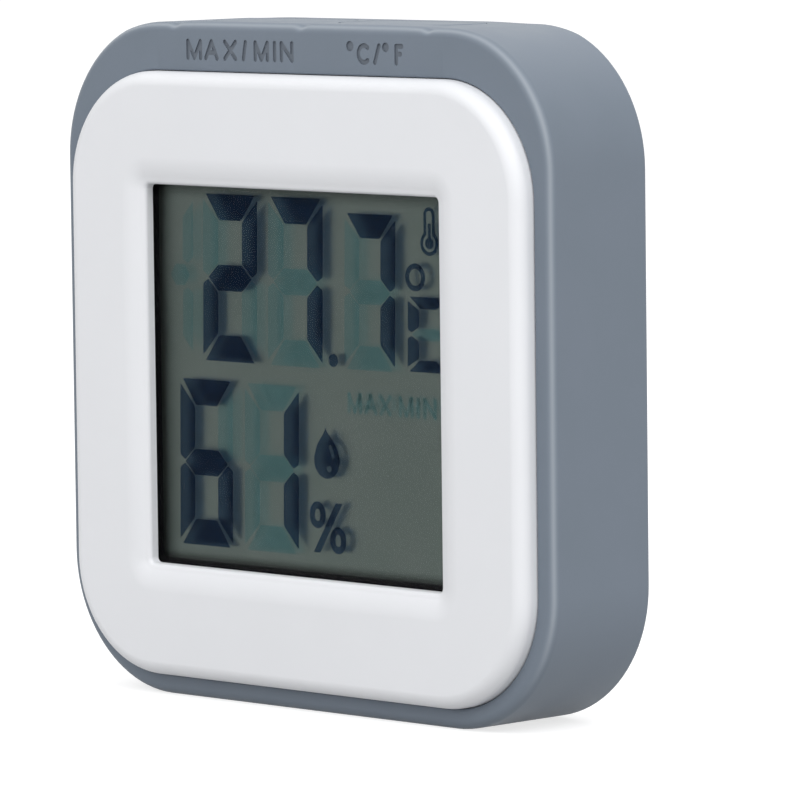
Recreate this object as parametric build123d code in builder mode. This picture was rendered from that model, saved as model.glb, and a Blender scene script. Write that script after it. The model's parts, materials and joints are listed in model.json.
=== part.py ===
"""Small square temperature and humidity meter with a liquid crystal display.

A white face and a white rear cover close on each other, and a grey silicone sleeve grips
the joint between them. Two keys in the top of the sleeve press two side switches on the
circuit board. A coin cell sits in a round well behind a quarter-turn door at the back.

Lengths are in millimetres. The face looks towards -Y, +X is on its right and +Z is up.
The origin is under the middle of the meter, on the surface that it stands on.
"""

from build123d import *
import os

# Window and face
window_width = 29.3
window_height = 27.0
window_corner = 0.4
side_border = 7.7
end_border = 7.95
face_thickness = 1.2
face_bevel = 0.5
face_wall = 1.4
dish_width = 1.6
dish_depth = 0.2

# Silicone sleeve
side_margin = 1.65
bottom_margin = 1.55
top_margin = 3.55
sleeve_corner = 9.8
sleeve_wall = 1.0
sleeve_lip = 1.0
sleeve_front_bevel = 0.4
sleeve_back_bevel = 0.3
face_proud = 1.45
back_proud = 1.95
fit_gap = 0.05

# Rear cover and its joint with the face
shell_wall = 1.4
flange_thickness = 1.05
tongue_length = 0.8
tongue_thickness = 0.5
joint_gap = 0.1
back_margin = 2.6
back_bevel = 0.5

# Display
film_thickness = 0.15
glass_thickness = 0.4
reflector_thickness = 0.2
glass_side_lap = 1.65
glass_end_lap = 0.8
glass_ledge = 2.6
film_inset = 0.4
rib_thickness = 0.8
rib_height = 0.9
holder_depth = 2.25
holder_frame = 3.6
holder_lip = 0.6
strip_end_gap = 2.3
strip_width = 1.6

# Circuit board and what is on it
board_thickness = 1.0
board_edge_gap = 0.55
chip_radius = 4.5
chip_height = 1.0
chip_x = 6.0
chip_drop = 6.5
sensor_size = 2.5
sensor_height = 0.9
sensor_port = 0.6
sensor_port_depth = 0.5
crystal_length = 5.0
crystal_radius = 0.75
crystal_gap = 0.5
small_parts_drop = 7.5
resistor_length = 1.0
resistor_width = 0.5
resistor_height = 0.45
resistor_pitch = 1.6
resistor_columns = 3
resistor_rows = 2
resistor_gap = 2.0

# Keys and their switches
key_pitch = 12.55
key_land = 0.85
key_depth = 5.0
key_corner = 1.2
key_bevel = 0.2
key_head_size = 4.0
key_head_height = 0.5
key_clearance = 0.15
key_travel = 0.3
travel_margin = 0.15
key_post_size = 2.2
key_post_clearance = 0.2
dent_size = 0.45
dent_length = 1.5
switch_width = 4.6
switch_height = 3.5
switch_thickness = 1.65
stem_width = 2.0
stem_thickness = 1.0
stem_proud = 0.7
stem_root = 0.6
stem_clearance = 0.06

# Coin cell and its contacts
cell_radius = 10.0
cell_thickness = 3.2
cell_cap_radius = 8.9
cell_cap_height = 0.8
cell_cap_proud = 0.3
cell_seal_width = 0.5
cell_seal_proud = 0.1
cell_edge_bevel = 0.3
cell_side_gap = 0.3
cell_gap = 0.1
contact_thickness = 0.2
contact_width = 3.0
contact_foot = 3.0
contact_reach = 7.0
contact_flat = 1.6
contact_bend = 0.5
contact_slot_gap = 0.5
side_contact_length = 2.4
side_contact_share = 0.6

# Cell well, door and vents
board_gap = 1.2
well_floor = 1.0
well_wall = 1.3
door_z = 20.0
door_gap = 0.15
door_thickness = 1.75
door_lap = 1.85
door_clearance = 0.15
door_rim_chamfer = 0.2
lug_length = 1.0
lug_width = 4.6
lug_thickness = 0.6
lug_clearance = 0.15
lug_count = 3
first_lug = 30.0
notch_clearance = 0.25
door_turn = 45.0
seat_wall = 1.2
seat_shelf = 1.05
coin_slot_length = 12.0
coin_slot_width = 1.8
coin_slot_depth = 0.9
vent_length = 11.0
vent_width = 0.9
vent_pitch = 1.8
vent_count = 4

# Screws and the bosses that they bite in
screw_radius = 0.85
screw_fit = 0.03
screw_hole_clearance = 0.15
screw_bite = 3.0
head_radius = 1.5
head_height = 0.9
head_clearance = 0.15
head_sink = 2.4
cross_length = 1.7
cross_width = 0.4
cross_depth = 0.45
boss_radius = 1.6
boss_gap = 0.4
screw_spacing = 29.4
post_wall = 0.75
prism_sides = 8

# A cut runs past the face that it opens by this much
overrun = 1.0

# Outlines that follow from these sizes
face_width = window_width + 2 * side_border
face_height = window_height + 2 * end_border
width = face_width + 2 * side_margin
height = face_height + bottom_margin + top_margin
face_z = bottom_margin + face_height / 2
middle_z = height / 2
face_corner = sleeve_corner - side_margin

shell_inset = sleeve_wall + fit_gap
shell_width = width - 2 * shell_inset
shell_height = height - 2 * shell_inset
shell_corner = sleeve_corner - shell_inset
cavity_width = shell_width - 2 * shell_wall
cavity_height = shell_height - 2 * shell_wall
cavity_corner = shell_corner - shell_wall
shell_top = middle_z + shell_height / 2
tongue_inset = joint_gap + tongue_thickness / 2

back_width = width - 2 * back_margin
back_height = height - 2 * back_margin
back_corner = sleeve_corner - back_margin
back_top = middle_z + back_height / 2

glass_width = window_width + 2 * glass_side_lap
rear_glass_height = window_height + 2 * glass_end_lap
front_glass_height = rear_glass_height + 2 * glass_ledge
film_width = glass_width - 2 * film_inset
film_height = rear_glass_height - 2 * film_inset
strip_length = glass_width - 2 * strip_end_gap

board_width = cavity_width - 2 * board_edge_gap
board_height = cavity_height - 2 * board_edge_gap
board_corner = cavity_corner - board_edge_gap
board_top = middle_z + board_height / 2

# Levels in Y, from the face to the back
depth = (
    face_thickness
    + film_thickness
    + 2 * glass_thickness
    + reflector_thickness
    + holder_depth
    + board_thickness
    + board_gap
    + well_floor
    + cell_gap
    + cell_thickness
    + door_gap
    + door_thickness
)
front_y = -depth / 2
face_back = front_y + face_thickness
film_back = face_back + film_thickness
front_glass_back = film_back + glass_thickness
rear_glass_back = front_glass_back + glass_thickness
reflector_back = rear_glass_back + reflector_thickness
board_front = reflector_back + holder_depth
board_back = board_front + board_thickness
floor_front = board_back + board_gap
floor_back = floor_front + well_floor
cell_front = floor_back + cell_gap
cell_back = cell_front + cell_thickness
door_front = cell_back + door_gap
back_y = door_front + door_thickness

sleeve_front = front_y + face_proud
sleeve_back = back_y - back_proud
flange_front = sleeve_front + sleeve_lip + fit_gap
split_y = flange_front + flange_thickness
shoulder_y = sleeve_back - sleeve_lip - fit_gap
shoulder_inside = shoulder_y - shell_wall
back_inside = back_y - shell_wall

# Where the keys, the door and the screws stand
key_places = (-key_pitch / 2, key_pitch / 2)
key_width = key_pitch - 2 * key_land
switch_y = board_back + switch_thickness / 2
dent_places = (-key_pitch, 0, key_pitch)
small_parts_z = board_top - small_parts_drop
key_bottom = height - sleeve_wall
pocket_floor = key_bottom - key_travel - travel_margin
stem_top = board_top + stem_proud

well_radius = cell_radius + cell_side_gap
door_radius = cell_radius + door_lap
seat_radius = door_radius + door_clearance
lug_radius = door_radius + lug_length
groove_radius = lug_radius + lug_clearance
ring_radius = groove_radius + seat_wall
seat_y = door_front - joint_gap
ledge_y = door_front + lug_thickness + lug_clearance
side_contact_top = cell_front + side_contact_share * cell_thickness
vent_z = (door_z + ring_radius + back_top - shell_wall) / 2

boss_x = glass_width / 2 + boss_gap + boss_radius
corner_screws = [
    (side * boss_x, face_z + end * screw_spacing / 2)
    for side in (-1, 1)
    for end in (-1, 1)
]
board_screws_at = [(side * boss_x, face_z) for side in (-1, 1)]
screw_hole = screw_radius + screw_hole_clearance
head_hole = head_radius + head_clearance
post_radius = head_hole + post_wall
post_edge = boss_x - post_radius
crystal_x = post_edge - crystal_gap - crystal_length / 2
resistor_span = (resistor_columns - 1) * resistor_pitch + resistor_length
resistor_x = resistor_gap + resistor_span / 2 - post_edge
head_seat_y = back_y - head_sink


def upright(y):
    """The upright plane at depth y. A positive extrusion from it runs towards the face."""
    return Plane.XZ.offset(-y)


def at_door(y):
    """The same plane with its origin on the axis of the battery door."""
    return Plane((0, y, door_z), x_dir=(1, 0, 0), z_dir=(0, -1, 0))


def slab(front, back, across, tall, x=0, z=0, corner=0, mode=Mode.ADD):
    """A block between two levels in Y, with its corners rounded if a radius is given."""
    with BuildSketch(upright(back)) as outline:
        with Locations((x, z)):
            if corner > 0:
                RectangleRounded(across, tall, corner)
            else:
                Rectangle(across, tall)
    extrude(outline.sketch, amount=back - front, mode=mode)


def drum(front, back, radius, places, mode=Mode.ADD):
    """Cylinders of one radius along Y, between two levels, at places given in X and Z."""
    with BuildSketch(upright(back)) as outline:
        with Locations(*places):
            Circle(radius)
    extrude(outline.sketch, amount=back - front, mode=mode)


def prisms(front, back, radius, places, mode=Mode.ADD):
    """Eight-sided prisms along Y, between two levels, with flats at one distance from their axes."""
    with BuildSketch(upright(back)) as outline:
        with Locations(*places):
            RegularPolygon(radius, prism_sides, major_radius=False, rotation=180 / prism_sides)
    extrude(outline.sketch, amount=back - front, mode=mode)


def key_cut(across, tall, top, bottom, corner=0):
    """Straight cuts down through whatever lies under the two keys."""
    with BuildSketch(Plane.XY.offset(top)) as outline:
        with Locations(*[(x, switch_y) for x in key_places]):
            if corner > 0:
                RectangleRounded(across, tall, corner)
            else:
                Rectangle(across, tall)
    extrude(outline.sketch, amount=bottom - top, mode=Mode.SUBTRACT)


def lug_ring(front, back, reach, lug, first_angle, mode=Mode.ADD):
    """Three lugs about the axis of the door, as wide as lug and ending at the radius reach."""
    with BuildSketch(at_door(back)) as outline:
        with PolarLocations(reach / 2, lug_count, first_angle):
            Rectangle(reach, lug)
        Circle(reach, mode=Mode.INTERSECT)
    extrude(outline.sketch, amount=back - front, mode=mode)


def screws(places, seat, tip):
    """Pan-head screws with a cross recess, from the face that they clamp to their tips."""
    top = seat + head_height
    drum(tip, seat, screw_radius, places)
    drum(seat, top, head_radius, places)
    with BuildSketch(upright(top)) as cross:
        with Locations(*places):
            Rectangle(cross_length, cross_width)
            Rectangle(cross_width, cross_length)
    extrude(cross.sketch, amount=cross_depth, mode=Mode.SUBTRACT)


def contact(points):
    """A strip spring bent along points in X and Y, level with the middle of the cell."""
    with BuildSketch(Plane.XY.offset(door_z)) as profile:
        with BuildLine():
            FilletPolyline(*points, radius=contact_bend)
        trace(line_width=contact_thickness)
    extrude(profile.sketch, amount=contact_width / 2, both=True)


# The silicone sleeve: a band with a lip at each end, open over the keys
with BuildPart() as silicone_sleeve:
    slab(sleeve_front, sleeve_back, width, height, 0, middle_z, sleeve_corner)
    chamfer(edges().group_by(Axis.Y)[0], sleeve_front_bevel)
    chamfer(edges().group_by(Axis.Y)[-1], sleeve_back_bevel)
    slab(
        sleeve_front + sleeve_lip,
        sleeve_back - sleeve_lip,
        width - 2 * sleeve_wall,
        height - 2 * sleeve_wall,
        0,
        middle_z,
        sleeve_corner - sleeve_wall,
        Mode.SUBTRACT,
    )
    slab(
        sleeve_front - overrun,
        sleeve_front + sleeve_lip,
        face_width + 2 * fit_gap,
        face_height + 2 * fit_gap,
        0,
        face_z,
        face_corner + fit_gap,
        Mode.SUBTRACT,
    )
    slab(
        sleeve_back - sleeve_lip,
        sleeve_back + overrun,
        back_width + 2 * fit_gap,
        back_height + 2 * fit_gap,
        0,
        middle_z,
        back_corner + fit_gap,
        Mode.SUBTRACT,
    )
    key_cut(
        key_width + 2 * key_clearance,
        key_depth + 2 * key_clearance,
        height + overrun,
        shell_top,
        key_corner + key_clearance,
    )
    with BuildSketch(upright(sleeve_front + dent_length)) as dents:
        with Locations(*[(x, height) for x in dent_places]):
            Rectangle(dent_size, dent_size, rotation=45)
    extrude(dents.sketch, amount=dent_length + overrun, mode=Mode.SUBTRACT)

# The white face: a dished frame round the window, with ribs, bosses, a flange and four tongues
with BuildPart() as front_bezel:
    slab(front_y, split_y, face_width, face_height, 0, face_z, face_corner)
    chamfer(edges().group_by(Axis.Y)[0], face_bevel)
    slab(flange_front, split_y, shell_width, shell_height, 0, middle_z, shell_corner)
    slab(
        face_back,
        split_y,
        face_width - 2 * face_wall,
        face_height - 2 * face_wall,
        0,
        face_z,
        face_corner - face_wall,
        Mode.SUBTRACT,
    )
    rib_width = glass_width + 2 * (fit_gap + rib_thickness)
    rib_length = front_glass_height + 2 * (fit_gap + rib_thickness)
    slab(face_back, face_back + rib_height, rib_width, rib_length, 0, face_z)
    prisms(face_back, board_front, boss_radius, corner_screws + board_screws_at)
    slab(
        face_back,
        board_front,
        glass_width + 2 * fit_gap,
        front_glass_height + 2 * fit_gap,
        0,
        face_z,
        mode=Mode.SUBTRACT,
    )
    prisms(
        board_front - screw_bite - screw_fit,
        board_front + overrun,
        screw_radius + screw_fit,
        corner_screws + board_screws_at,
        Mode.SUBTRACT,
    )
    slab(
        front_y - overrun,
        face_back + overrun,
        window_width,
        window_height,
        0,
        face_z,
        window_corner,
        Mode.SUBTRACT,
    )
    with BuildSketch(upright(front_y)) as dish_rim:
        with Locations((0, face_z)):
            RectangleRounded(
                window_width + 2 * dish_width,
                window_height + 2 * dish_width,
                window_corner + dish_width,
            )
    with BuildSketch(upright(front_y + dish_depth)) as dish_floor:
        with Locations((0, face_z)):
            RectangleRounded(window_width, window_height, window_corner)
    loft([dish_rim.sketch, dish_floor.sketch], ruled=True, mode=Mode.SUBTRACT)
    for side in (-1, 1):
        slab(
            split_y,
            split_y + tongue_length,
            tongue_thickness,
            cavity_height - 2 * cavity_corner,
            side * (cavity_width / 2 - tongue_inset),
            middle_z,
        )
        slab(
            split_y,
            split_y + tongue_length,
            cavity_width - 2 * cavity_corner,
            tongue_thickness,
            0,
            middle_z + side * (cavity_height / 2 - tongue_inset),
        )

# The rear cover: a shell with a raised back, the cell well, screw posts and vents
with BuildPart() as rear_cover:
    slab(split_y, shoulder_y, shell_width, shell_height, 0, middle_z, shell_corner)
    slab(shoulder_y, back_y, back_width, back_height, 0, middle_z, back_corner)
    chamfer(edges().group_by(Axis.Y)[-1], back_bevel)
    slab(
        split_y,
        shoulder_inside,
        cavity_width,
        cavity_height,
        0,
        middle_z,
        cavity_corner,
        Mode.SUBTRACT,
    )
    slab(
        shoulder_inside,
        back_inside,
        back_width - 2 * shell_wall,
        back_height - 2 * shell_wall,
        0,
        middle_z,
        back_corner - shell_wall,
        Mode.SUBTRACT,
    )
    drum(floor_front, back_inside, well_radius + well_wall, [(0, door_z)])
    drum(seat_y - seat_shelf, back_inside, ring_radius, [(0, door_z)])
    prisms(board_back, back_inside, post_radius, corner_screws)
    drum(floor_back, seat_y, well_radius, [(0, door_z)], Mode.SUBTRACT)
    drum(seat_y, back_y + overrun, seat_radius, [(0, door_z)], Mode.SUBTRACT)
    drum(seat_y, ledge_y, groove_radius, [(0, door_z)], Mode.SUBTRACT)
    lug_ring(
        seat_y,
        back_y + overrun,
        groove_radius,
        lug_width + 2 * notch_clearance,
        first_lug - door_turn,
        Mode.SUBTRACT,
    )
    drum(head_seat_y, back_y + overrun, head_hole, corner_screws, Mode.SUBTRACT)
    prisms(board_back - overrun, head_seat_y, screw_hole, corner_screws, Mode.SUBTRACT)
    with BuildSketch(upright(back_y + overrun)) as vents:
        with Locations((0, vent_z)):
            with GridLocations(0, vent_pitch, 1, vent_count):
                Rectangle(vent_length, vent_width)
    extrude(vents.sketch, amount=shell_wall + 2 * overrun, mode=Mode.SUBTRACT)
    slab(
        floor_front - overrun,
        floor_back + overrun,
        contact_reach + contact_flat + 2 * contact_slot_gap,
        contact_width + 2 * contact_slot_gap,
        (contact_flat - contact_reach) / 2,
        door_z,
        mode=Mode.SUBTRACT,
    )
    slab(
        floor_front - overrun,
        side_contact_top + contact_slot_gap,
        contact_thickness + 2 * contact_slot_gap,
        contact_width + 2 * contact_slot_gap,
        cell_radius + contact_thickness / 2,
        door_z,
        mode=Mode.SUBTRACT,
    )
    key_cut(
        key_width + 2 * key_clearance,
        key_depth + 2 * key_clearance,
        shell_top + overrun,
        pocket_floor,
    )
    key_cut(
        key_post_size + 2 * key_post_clearance,
        key_post_size + 2 * key_post_clearance,
        shell_top + overrun,
        shell_top - shell_wall - overrun,
    )

# The battery door: a disc with lugs under its rim and a slot for a coin
with BuildPart() as battery_door:
    drum(door_front, back_y, door_radius, [(0, door_z)])
    chamfer(edges().group_by(Axis.Y)[-1], door_rim_chamfer)
    lug_ring(door_front, door_front + lug_thickness, lug_radius, lug_width, first_lug)
    with BuildSketch(at_door(back_y)) as coin_slot:
        SlotOverall(coin_slot_length, coin_slot_width)
    extrude(coin_slot.sketch, amount=coin_slot_depth, mode=Mode.SUBTRACT)

# The display: a front film, two glasses and a reflector, with the front glass longer
with BuildPart() as front_polarizer:
    slab(face_back, film_back, film_width, film_height, 0, face_z)
with BuildPart() as lcd_front_glass:
    slab(film_back, front_glass_back, glass_width, front_glass_height, 0, face_z)
with BuildPart() as lcd_rear_glass:
    slab(front_glass_back, rear_glass_back, glass_width, rear_glass_height, 0, face_z)
with BuildPart() as lcd_reflector:
    slab(rear_glass_back, reflector_back, film_width, film_height, 0, face_z)

# The frame that carries the display on the board, and the strips that join them
strip_z = (rear_glass_height + glass_ledge) / 2
with BuildPart() as lcd_holder:
    slab(
        reflector_back,
        board_front,
        glass_width,
        front_glass_height + 2 * holder_lip,
        0,
        face_z,
    )
    slab(
        reflector_back - overrun,
        board_front + overrun,
        glass_width - 2 * holder_frame,
        rear_glass_height - 2 * holder_frame,
        0,
        face_z,
        mode=Mode.SUBTRACT,
    )
    for side in (-1, 1):
        slab(
            reflector_back - overrun,
            board_front + overrun,
            strip_length + 2 * fit_gap,
            strip_width + 2 * fit_gap,
            0,
            face_z + side * strip_z,
            mode=Mode.SUBTRACT,
        )
with BuildPart() as upper_contact_strip:
    slab(front_glass_back, board_front, strip_length, strip_width, 0, face_z + strip_z)
with BuildPart() as lower_contact_strip:
    slab(front_glass_back, board_front, strip_length, strip_width, 0, face_z - strip_z)

# The circuit board and what is soldered on its back
with BuildPart() as circuit_board:
    slab(board_front, board_back, board_width, board_height, 0, middle_z, board_corner)
    prisms(
        board_front - overrun,
        board_back + overrun,
        screw_hole,
        corner_screws + board_screws_at,
        Mode.SUBTRACT,
    )
with BuildPart() as display_chip:
    drum(board_back, board_back + chip_height, chip_radius, [(chip_x, door_z - chip_drop)])
with BuildPart() as humidity_sensor:
    sensor_back = board_back + sensor_height
    slab(board_back, sensor_back, sensor_size, sensor_size, 0, small_parts_z)
    drum(
        sensor_back - sensor_port_depth,
        sensor_back + overrun,
        sensor_port,
        [(0, small_parts_z)],
        Mode.SUBTRACT,
    )
with BuildPart() as timing_crystal:
    crystal_start = crystal_x - crystal_length / 2
    with BuildSketch(Plane.YZ.offset(crystal_start)) as crystal_end:
        with Locations((board_back + crystal_radius, small_parts_z)):
            Circle(crystal_radius)
    extrude(crystal_end.sketch, amount=crystal_length)
with BuildPart() as resistors:
    with BuildSketch(upright(board_back + resistor_height)) as resistor_outlines:
        with Locations((resistor_x, small_parts_z)):
            with GridLocations(
                resistor_pitch, resistor_pitch, resistor_columns, resistor_rows
            ):
                Rectangle(resistor_length, resistor_width)
    extrude(resistor_outlines.sketch, amount=resistor_height)

# The coin cell: a can, its cap on the side of the board, and the seal between them
can_front = cell_front + cell_cap_proud
cap_back = cell_front + cell_cap_height
seal_radius = cell_cap_radius + cell_seal_width
with BuildPart() as cell_can:
    drum(can_front, cell_back, cell_radius, [(0, door_z)])
    chamfer(edges().group_by(Axis.Y)[-1], cell_edge_bevel)
    drum(can_front - overrun, cap_back, seal_radius, [(0, door_z)], Mode.SUBTRACT)
with BuildPart() as cell_seal:
    drum(can_front - cell_seal_proud, cap_back, seal_radius, [(0, door_z)])
    drum(
        can_front - overrun,
        cap_back + overrun,
        cell_cap_radius,
        [(0, door_z)],
        Mode.SUBTRACT,
    )
with BuildPart() as cell_cap:
    drum(cell_front, cap_back, cell_cap_radius, [(0, door_z)])

# The two strip springs that touch the cell
contact_middle = contact_thickness / 2
foot_y = board_back + contact_middle
side_contact_x = cell_radius + contact_middle
with BuildPart() as negative_contact:
    contact(
        [
            (-contact_reach - contact_foot, foot_y),
            (-contact_reach, foot_y),
            (-contact_flat, cell_front - contact_middle),
            (contact_flat, cell_front - contact_middle),
        ]
    )
with BuildPart() as positive_contact:
    contact(
        [
            (side_contact_x + side_contact_length, foot_y),
            (side_contact_x, foot_y),
            (side_contact_x, side_contact_top),
        ]
    )

# The screws: four through the case, two that hold the board to the face
with BuildPart() as case_screws:
    screws(corner_screws, head_seat_y, board_front - screw_bite)
with BuildPart() as board_screws:
    screws(board_screws_at, board_back, board_front - screw_bite)

pieces = {
    "silicone_sleeve": silicone_sleeve,
    "front_bezel": front_bezel,
    "rear_cover": rear_cover,
    "battery_door": battery_door,
    "front_polarizer": front_polarizer,
    "lcd_front_glass": lcd_front_glass,
    "lcd_rear_glass": lcd_rear_glass,
    "lcd_reflector": lcd_reflector,
    "lcd_holder": lcd_holder,
    "upper_contact_strip": upper_contact_strip,
    "lower_contact_strip": lower_contact_strip,
    "circuit_board": circuit_board,
    "display_chip": display_chip,
    "humidity_sensor": humidity_sensor,
    "timing_crystal": timing_crystal,
    "resistors": resistors,
    "cell_can": cell_can,
    "cell_seal": cell_seal,
    "cell_cap": cell_cap,
    "negative_contact": negative_contact,
    "positive_contact": positive_contact,
    "case_screws": case_screws,
    "board_screws": board_screws,
}

# Each key: a silicone pad, the plunger under it, and the stem and case of its switch
for name, key_x in zip(("max_min", "unit"), key_places):
    with BuildPart() as key_pad:
        with BuildSketch(Plane.XY.offset(key_bottom)) as pad_outline:
            with Locations((key_x, switch_y)):
                RectangleRounded(key_width, key_depth, key_corner)
        extrude(pad_outline.sketch, amount=height - key_bottom)
        chamfer(edges().group_by(Axis.Z)[-1], key_bevel)
        with BuildSketch(Plane.XY.offset(key_bottom)) as head_recess:
            with Locations((key_x, switch_y)):
                Rectangle(key_head_size, key_head_size)
        extrude(head_recess.sketch, amount=key_head_height, mode=Mode.SUBTRACT)
    with BuildPart() as key_plunger:
        with BuildSketch(Plane.XY.offset(key_bottom)) as plunger_head:
            with Locations((key_x, switch_y)):
                Rectangle(key_head_size, key_head_size)
        extrude(plunger_head.sketch, amount=key_head_height)
        with BuildSketch(Plane.XY.offset(key_bottom)) as plunger_post:
            with Locations((key_x, switch_y)):
                Rectangle(key_post_size, key_post_size)
        extrude(plunger_post.sketch, amount=stem_top - key_bottom)
    with BuildPart() as switch_stem:
        with BuildSketch(Plane.XY.offset(stem_top)) as stem_outline:
            with Locations((key_x, switch_y)):
                Rectangle(stem_width, stem_thickness)
        extrude(stem_outline.sketch, amount=-stem_proud - stem_root)
    with BuildPart() as switch_case:
        slab(
            board_back,
            board_back + switch_thickness,
            switch_width,
            switch_height,
            key_x,
            board_top - switch_height / 2,
        )
        with BuildSketch(Plane.XY.offset(board_top + overrun)) as stem_slot:
            with Locations((key_x, switch_y)):
                Rectangle(stem_width + 2 * stem_clearance, stem_thickness + 2 * stem_clearance)
        extrude(
            stem_slot.sketch,
            amount=-overrun - stem_root - key_travel - travel_margin,
            mode=Mode.SUBTRACT,
        )
    pieces[name + "_pad"] = key_pad
    pieces[name + "_plunger"] = key_plunger
    pieces[name + "_switch_stem"] = switch_stem
    pieces[name + "_switch"] = switch_case

os.makedirs("parts", exist_ok=True)
for name, piece in pieces.items():
    piece.part.label = name
    export_step(piece.part, f"parts/{name}.step")
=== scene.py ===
"""Dresses the temperature and humidity meter: finishes, display, labels, lights and camera."""

import json
import math

import bmesh
import bpy
from mathutils import Matrix, Vector


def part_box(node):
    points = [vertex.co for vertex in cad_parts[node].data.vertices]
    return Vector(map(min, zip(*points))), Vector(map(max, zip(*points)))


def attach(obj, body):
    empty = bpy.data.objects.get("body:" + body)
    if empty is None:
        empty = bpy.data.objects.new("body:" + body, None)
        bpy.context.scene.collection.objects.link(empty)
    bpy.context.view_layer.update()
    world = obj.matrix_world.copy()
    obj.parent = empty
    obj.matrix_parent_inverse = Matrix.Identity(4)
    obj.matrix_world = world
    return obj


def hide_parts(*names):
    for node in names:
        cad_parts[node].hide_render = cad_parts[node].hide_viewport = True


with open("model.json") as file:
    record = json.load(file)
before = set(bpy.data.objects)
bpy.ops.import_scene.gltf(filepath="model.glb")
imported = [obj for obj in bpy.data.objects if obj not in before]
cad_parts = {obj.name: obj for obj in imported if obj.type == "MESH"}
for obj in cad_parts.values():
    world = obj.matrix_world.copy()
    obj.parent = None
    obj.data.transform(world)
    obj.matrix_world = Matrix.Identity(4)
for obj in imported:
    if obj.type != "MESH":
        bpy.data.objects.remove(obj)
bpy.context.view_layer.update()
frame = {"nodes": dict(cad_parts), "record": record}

MM = 0.001

# Overall sizes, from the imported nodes
sleeve_low, sleeve_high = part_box("silicone_sleeve")
bezel_low, bezel_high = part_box("front_bezel")
film_low, film_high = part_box("front_polarizer")
glass_low, glass_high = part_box("lcd_front_glass")
_, reflector_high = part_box("lcd_reflector")

# Sleeve
SLEEVE_WIDTH = sleeve_high.x - sleeve_low.x
SLEEVE_HEIGHT = sleeve_high.z - sleeve_low.z
SLEEVE_MIDDLE = (sleeve_high.z + sleeve_low.z) / 2
SLEEVE_FRONT = sleeve_low.y
SLEEVE_BACK = sleeve_high.y
SLEEVE_CORNER = 9.8 * MM
SLEEVE_WALL = 1.0 * MM
SLEEVE_LIP = 1.0 * MM
FRONT_ROUND = 0.7 * MM
BACK_ROUND = 0.4 * MM
LIP_ROUND = 0.15 * MM
BACK_INSET = 2.6 * MM
LIP_GAP = 0.05 * MM

# The three notches and the slight fall of the shoulders, in the top zone of the sleeve
TOP_ZONE = 0.9 * MM
NOTCH_PLACES = (-12.55 * MM, 0.2 * MM, 12.5 * MM)
NOTCH_SPREAD = 0.48 * MM
NOTCH_DEPTH = 0.18 * MM
NOTCH_REACH = 1.6 * MM
SHOULDER_DROP = 0.10 * MM
SHOULDER_START = 9.5 * MM
SHOULDER_END = 14.2 * MM

# Rubbed edges of the sleeve, lighter for wear and for a painted highlight: an attribute that fades
# in above the foot
RIDGE_NAME = "ridge"
RIDGE_MIDDLE = 45
RIDGE_SPREAD = 15.0
RIDGE_FOOT = 1.0 * MM
RIDGE_FULL = 9.0 * MM
BACK_RIDGE = 0.5

# Keys
KEYS = (("max_min_pad", "max_min_key"), ("unit_pad", "unit_key"))
KEY_CORNER = 1.2 * MM
KEY_GAP = 0.06 * MM
KEY_ROUND = 0.15 * MM

# Face
SIDE_MARGIN = 1.65 * MM
BOTTOM_MARGIN = 1.49 * MM
TOP_MARGIN = 3.55 * MM
FACE_WIDTH = SLEEVE_WIDTH - 2 * SIDE_MARGIN
FACE_HEIGHT = SLEEVE_HEIGHT - BOTTOM_MARGIN - TOP_MARGIN
FACE_MIDDLE = BOTTOM_MARGIN + FACE_HEIGHT / 2
FACE_CORNER = SLEEVE_CORNER - SIDE_MARGIN
FACE_ROUND = 1.04 * MM
FACE_WALL = 1.4 * MM
FACE_FRONT = bezel_low.y
FACE_BACK = film_low.y
FLANGE_FRONT = SLEEVE_FRONT + SLEEVE_LIP + LIP_GAP
FLANGE_BACK = FLANGE_FRONT + 1.05 * MM
SHELL_WIDTH = bezel_high.x - bezel_low.x
SHELL_HEIGHT = bezel_high.z - bezel_low.z
SHELL_CORNER = SLEEVE_CORNER - SLEEVE_WALL - LIP_GAP
WINDOW_WIDTH = 29.02 * MM
WINDOW_ASIDE = -0.14 * MM
WINDOW_HEIGHT = 27.0 * MM
WINDOW_CORNER = 0.4 * MM
WINDOW_EDGE = 0.34 * MM
WINDOW_LEFT = WINDOW_ASIDE - WINDOW_WIDTH / 2
WINDOW_FOOT = FACE_MIDDLE - WINDOW_HEIGHT / 2
WINDOW_TOP = FACE_MIDDLE + WINDOW_HEIGHT / 2
DISH_WIDTH = 2.0 * MM
DISH_DEPTH = 0.38 * MM

# The corners of an outline, in order: side, end and first angle of each
CORNERS = ((1, -1, -90), (1, 1, 0), (-1, 1, 90), (-1, -1, 180))
SMALLEST_CORNER = 0.05 * MM

# How finely outlines and rounds are drawn
CORNER_STEPS = 24
SIDE_STEPS = 8
TOP_STEPS = 220
STEPS_AFTER_CORNER = (SIDE_STEPS, TOP_STEPS, SIDE_STEPS, SIDE_STEPS)
LIP_STEPS = 3
ROUND_STEPS = 10
SIDE_ROWS = 6
WINDOW_EDGE_STEPS = 4
DISH_STEPS = 10
FACE_ROUND_STEPS = 14
KEY_CORNER_STEPS = 8
KEY_ROUND_STEPS = 6
STROKE_END_STEPS = 8
BOW_STEPS = 12
SOFT_STEPS = 4
DISC_STEPS = 40

# Shading: the sharpest edge that stays smooth, and how far large faces rule the normals
SHARP_DEGREES = 35
LARGE_FACE_WEIGHT = 100

# Details of the drawn letters, in millimetres and degrees
A_BAR_INSET = 0.22
A_BAR_RISE = 0.4
F_BAR_SHORT = 0.12
F_BAR_RISE = 0.05
C_SHIFT = 0.05
C_BOW = (50, 310)

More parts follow.
